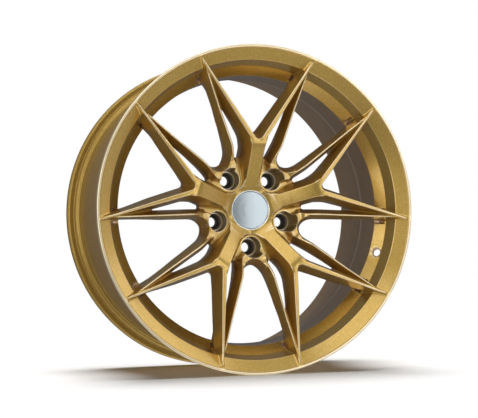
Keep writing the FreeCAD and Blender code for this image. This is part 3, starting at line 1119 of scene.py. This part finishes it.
def place_floor(half=9):
    corners = [(-half, -half), (half, -half), (half, half), (-half, half)]
    points = [(x, y, FLOOR_Z) for x, y in corners]
    floor = mesh_object("floor", points, [[0, 1, 2, 3]], smooth=False)
    paper = Shader("floor_paper")
    paper.colour(paper.mix(paper.noise(300), (0.96, 0.96, 0.96), (0.98, 0.98, 0.98)))
    paper.set(Roughness=0.9)
    give(floor, paper.material)
    floor.visible_glossy = False
    return floor


def light_all_but(floor, lights):
    """The side lights shape the wheel only, so the overhead light's shadow stays deep."""
    skipped = bpy.data.collections.new("not_side_lit")
    skipped.objects.link(floor)
    skipped.collection_objects[0].light_linking.link_state = "EXCLUDE"
    for light in lights:
        light.light_linking.receiver_collection = skipped


class World:
    """Small helper round the world's nodes."""

    def __init__(self, name):
        world = bpy.data.worlds.new(name)
        bpy.context.scene.world = world
        world.use_nodes = True
        self.nodes = world.node_tree.nodes
        self.links = world.node_tree.links

    def white(self, node, strength):
        node.inputs["Color"].default_value = (1.0, 1.0, 1.0, 1.0)
        node.inputs["Strength"].default_value = strength
        return node.outputs["Background"]

    def from_minus_one(self, output):
        """A direction's part along one axis, brought from -1 to 1 into 0 to 1."""
        node = self.nodes.new("ShaderNodeMapRange")
        node.inputs["From Min"].default_value = -1.0
        self.links.new(output, node.inputs["Value"])
        return node.outputs["Result"]

    def greys(self, factor, *stops):
        node = self.nodes.new("ShaderNodeValToRGB")
        elements = node.color_ramp.elements
        while len(elements) < len(stops):
            elements.new(0.5)
        for element, (position, value) in zip(elements, stops):
            element.position = position
            element.color = (value, value, value, 1.0)
        self.links.new(factor, node.inputs["Fac"])
        return node.outputs["Color"]

    def pick(self, ray, otherwise, chosen):
        """One shader for rays of this kind, and the other for the rest."""
        path = self.nodes.new("ShaderNodeLightPath")
        node = self.nodes.new("ShaderNodeMixShader")
        self.links.new(path.outputs[ray], node.inputs["Fac"])
        self.links.new(otherwise, node.inputs[1])
        self.links.new(chosen, node.inputs[2])
        return node.outputs["Shader"]


def place_world():
    """White for the camera, a graded studio for reflections and a dim fill for the rest."""
    world = World("studio")
    nodes, links = world.nodes, world.links
    white = world.white(nodes["Background"], 1.0)
    ambient = world.white(nodes.new("ShaderNodeBackground"), 0.03)
    way = nodes.new("ShaderNodeTexCoord")
    split = nodes.new("ShaderNodeSeparateXYZ")
    links.new(way.outputs["Generated"], split.inputs["Vector"])
    tone = world.greys(
        world.from_minus_one(split.outputs["Z"]),
        (0.0, 0.9), (0.06, 0.5), (0.3, 0.32), (0.55, 0.38), (0.85, 0.45), (1.0, 0.85),
    )
    backdrop = world.greys(
        world.from_minus_one(split.outputs["Y"]),
        (0.2, 0.4), (0.33, 0.4), (0.42, 0.9), (0.65, 0.9), (0.75, 0.2), (1.0, 0.12),
    )
    strength = nodes.new("ShaderNodeMapRange")
    strength.inputs["To Max"].default_value = 2.5
    links.new(backdrop, strength.inputs["Value"])
    studio = nodes.new("ShaderNodeBackground")
    links.new(tone, studio.inputs["Color"])
    links.new(strength.outputs["Result"], studio.inputs["Strength"])
    seen = world.pick("Is Camera Ray", ambient, white)
    final = world.pick("Is Glossy Ray", seen, studio.outputs["Background"])
    links.new(final, nodes["World Output"].inputs["Surface"])
    bpy.context.scene.view_settings.view_transform = "Standard"


def place_lights(floor):
    sun = bpy.data.lights.new("overhead", "SUN")
    sun.energy = 3.35
    sun.angle = 0.62
    overhead = bpy.data.objects.new("overhead", sun)
    overhead.rotation_euler = (math.radians(-7), 0, 0)
    overhead.visible_glossy = False
    bpy.context.scene.collection.objects.link(overhead)
    lights = [
        soft_light("upper_left", (-1.2, -1.7, 2.1), (2.2, 1.9), 14),
        soft_light("left", (-2.15, -1.2, 0.1), (1.5, 1.9), 14),
        soft_light("front_right", (1.05, -2.15, 0.0), (1.0, 2.0), 9.5),
        soft_light("right", (1.9, -0.3, 1.3), (1.9, 1.8), 9.5),
    ]
    light_all_but(floor, lights)


# ---- the scene ----------------------------------------------------------------------------
def arcs(ring):
    """The names of the five CAD arcs that make one ring of the rim."""
    return [f"{ring}_{number + 1}" for number in range(SPOKES)]


def make_face():
    face = build_face()
    set_field_normals(face)
    mark_face(face)
    give(face, gold_paint())
    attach(face, "wheel")
    spokes = [f"spoke_{n + 1}" for n in range(SPOKES)]
    braces = [f"brace_{n + 1}_{side}" for n in range(SPOKES) for side in ("left", "right")]
    front = arcs("rim_front_shoulder") + arcs("rim_front_bead_seat") + arcs("rim_drop_centre")
    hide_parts("rim_front_flange", "hub_pad", *front, *spokes, *braces)


def make_shell():
    shell = build_barrel()
    weighted_normals(shell)
    mark_barrel(shell)
    give(shell, barrel_paint())
    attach(shell, "wheel")
    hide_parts("rim_rear_flange", *arcs("rim_barrel"), *arcs("rim_rear_bead_seat"))


def make_seats():
    seats = build_seats()
    weighted_normals(seats, 35)
    mark_seats(seats)
    give(seats, machined_seat())
    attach(seats, "wheel")


def make_cap():
    disc = turned_piece("cap_face_disc", cap_disc_profile(), 144)
    ring = turned_piece("cap_bright_ring", cap_ring_profile(), 192)
    base = turned_piece("cap_moulding", cap_base_profile(), 144)
    legs = build_legs(CAP_FRONT + 3.5, LEG_END)
    wire = turned_piece("cap_wire_ring", wire_profile(), 96)
    for piece in (disc, ring, base, wire):
        weighted_normals(piece, 40)
    plastic = black_plastic()
    for piece, material, slot in (
        (disc, cap_metal(), "cap_satin"),
        (ring, bright_metal(), "cap_bright"),
        (base, plastic, "cap_plastic"),
        (legs, plastic, "cap_plastic"),
        (wire, spring_wire(), "spring_steel"),
    ):
        give(piece, material)
        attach(piece, "cap")
    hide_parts("cap_disc")
    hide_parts("cap_trim_ring")
    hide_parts("cap_body")
    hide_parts("cap_spring_ring")


place_camera()
place_world()
place_lights(place_floor())
make_face()
make_shell()
make_seats()
make_cap()
